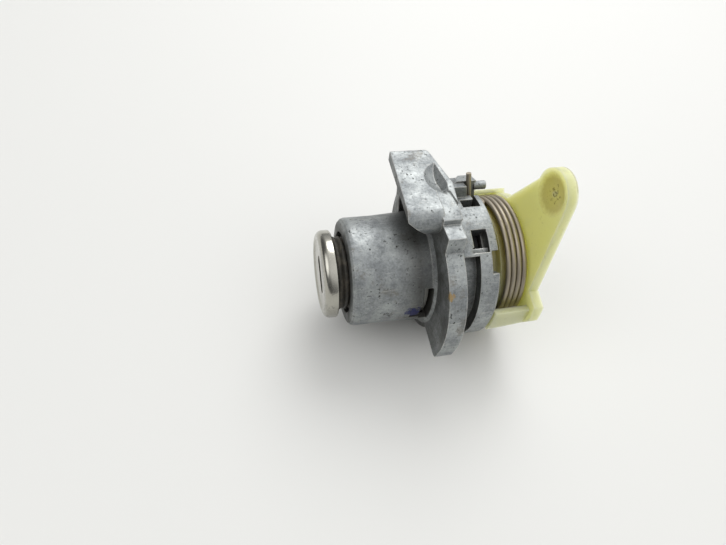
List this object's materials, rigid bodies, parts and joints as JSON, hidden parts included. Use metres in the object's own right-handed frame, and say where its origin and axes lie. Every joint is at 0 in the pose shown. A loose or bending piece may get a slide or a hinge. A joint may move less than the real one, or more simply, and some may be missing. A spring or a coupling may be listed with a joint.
{
  "type": "car door lock cylinder",
  "caption": "Door lock cylinder: cast barrel with a winged flange and slotted collar, key plug with a steel face, and a moulded lever turned back by a coil spring.",
  "frame": {"origin": "on the lock's axis at the flange's front face", "axes": "+X along the axis from the key's side to the lever, +Z square to the wing's outer face, +Y completes the right hand"},
  "size_m": [0.0429, 0.0379, 0.0432],
  "materials": {
    "zinc_casting": "dull die cast zinc with stains and fine pits",
    "plug_zinc": "dull die cast zinc",
    "polished_steel": "polished stainless, lightly scuffed",
    "seal_rubber": "dark ribbed rubber, dusty",
    "steel_sheet": "plain bright steel",
    "spring_wire": "drawn spring steel",
    "sleeve_zinc": "dull die cast zinc",
    "black_nylon": "black moulded nylon",
    "lever_nylon": "translucent yellow-green nylon",
    "bronze_wire": "drawn spring wire with a brown tone",
    "wafer_brass": "stamped brass"
  },
  "bodies": {
    "housing_body": {"housing": "zinc_casting", "retaining_clip": "spring_wire", "return_spring": "bronze_wire", "detent_ring": "spring_wire"},
    "plug_body": {"plug": "plug_zinc", "face_cap": "polished_steel", "neck_seal": "seal_rubber", "sleeve": "sleeve_zinc", "shutter_pin": "steel_sheet", "shutter_spring": "spring_wire", "clutch_ring": "black_nylon", "lever_washer": "steel_sheet", "tail_circlip": "spring_wire", "wafer_spring_1": "spring_wire", "wafer_spring_2": "spring_wire", "wafer_spring_3": "spring_wire", "wafer_spring_4": "spring_wire", "wafer_spring_5": "spring_wire", "wafer_spring_6": "spring_wire"},
    "lever_body": {"lever": "lever_nylon"},
    "shutter_body": {"shutter_flap": "steel_sheet"},
    "detent_body": {"detent_shoe": "steel_sheet"},
    "wafer_body_1": {"wafer_1": "wafer_brass"},
    "wafer_body_2": {"wafer_2": "wafer_brass"},
    "wafer_body_3": {"wafer_3": "wafer_brass"},
    "wafer_body_4": {"wafer_4": "wafer_brass"},
    "wafer_body_5": {"wafer_5": "wafer_brass"},
    "wafer_body_6": {"wafer_6": "wafer_brass"}
  },
  "joints": [
    {"name": "key_turn", "type": "hinge", "parent": "housing_body", "child": "plug_body", "pos_m": [0, 0, 0], "axis": [1, 0, 0], "range_deg": [-70, 70], "stiffness_Nm_per_rad": 0.06},
    {"name": "lever_turn", "type": "hinge", "parent": "housing_body", "child": "lever_body", "pos_m": [0.015, 0, 0], "axis": [1, 0, 0], "range_deg": [-70, 70], "deforming": ["return_spring"]},
    {"name": "shutter_swing", "type": "hinge", "parent": "plug_body", "child": "shutter_body", "pos_m": [-0.01895, 0.00111, -0.00142], "axis": [0, 0.788, 0.6157], "range_deg": [0, 80], "stiffness_Nm_per_rad": 0.0005, "springref_deg": -28.65, "deforming": ["shutter_spring"]},
    {"name": "detent_slide", "type": "slide", "parent": "housing_body", "child": "detent_body", "axis": [0, -0.9976, -0.0698], "range_m": [0, 0.0008], "stiffness_N_per_m": 2000, "springref_m": -0.0003, "deforming": ["detent_ring"]},
    {"name": "wafer_slide_1", "type": "slide", "parent": "plug_body", "child": "wafer_body_1", "axis": [0, 0.788, 0.6157], "range_m": [-0.0007, 0], "stiffness_N_per_m": 200, "springref_m": 0.0006, "deforming": ["wafer_spring_1"]},
    {"name": "wafer_slide_2", "type": "slide", "parent": "plug_body", "child": "wafer_body_2", "axis": [0, -0.788, -0.6157], "range_m": [-0.0007, 0], "stiffness_N_per_m": 200, "springref_m": 0.0006, "deforming": ["wafer_spring_2"]},
    {"name": "wafer_slide_3", "type": "slide", "parent": "plug_body", "child": "wafer_body_3", "axis": [0, 0.788, 0.6157], "range_m": [-0.0007, 0], "stiffness_N_per_m": 200, "springref_m": 0.0006, "deforming": ["wafer_spring_3"]},
    {"name": "wafer_slide_4", "type": "slide", "parent": "plug_body", "child": "wafer_body_4", "axis": [0, -0.788, -0.6157], "range_m": [-0.0007, 0], "stiffness_N_per_m": 200, "springref_m": 0.0006, "deforming": ["wafer_spring_4"]},
    {"name": "wafer_slide_5", "type": "slide", "parent": "plug_body", "child": "wafer_body_5", "axis": [0, 0.788, 0.6157], "range_m": [-0.0007, 0], "stiffness_N_per_m": 200, "springref_m": 0.0006, "deforming": ["wafer_spring_5"]},
    {"name": "wafer_slide_6", "type": "slide", "parent": "plug_body", "child": "wafer_body_6", "axis": [0, -0.788, -0.6157], "range_m": [-0.0007, 0], "stiffness_N_per_m": 200, "springref_m": 0.0006, "deforming": ["wafer_spring_6"]}
  ],
  "couplings": [
    {"joint": "lever_turn", "follows": "key_turn", "ratio": 1}
  ]
}
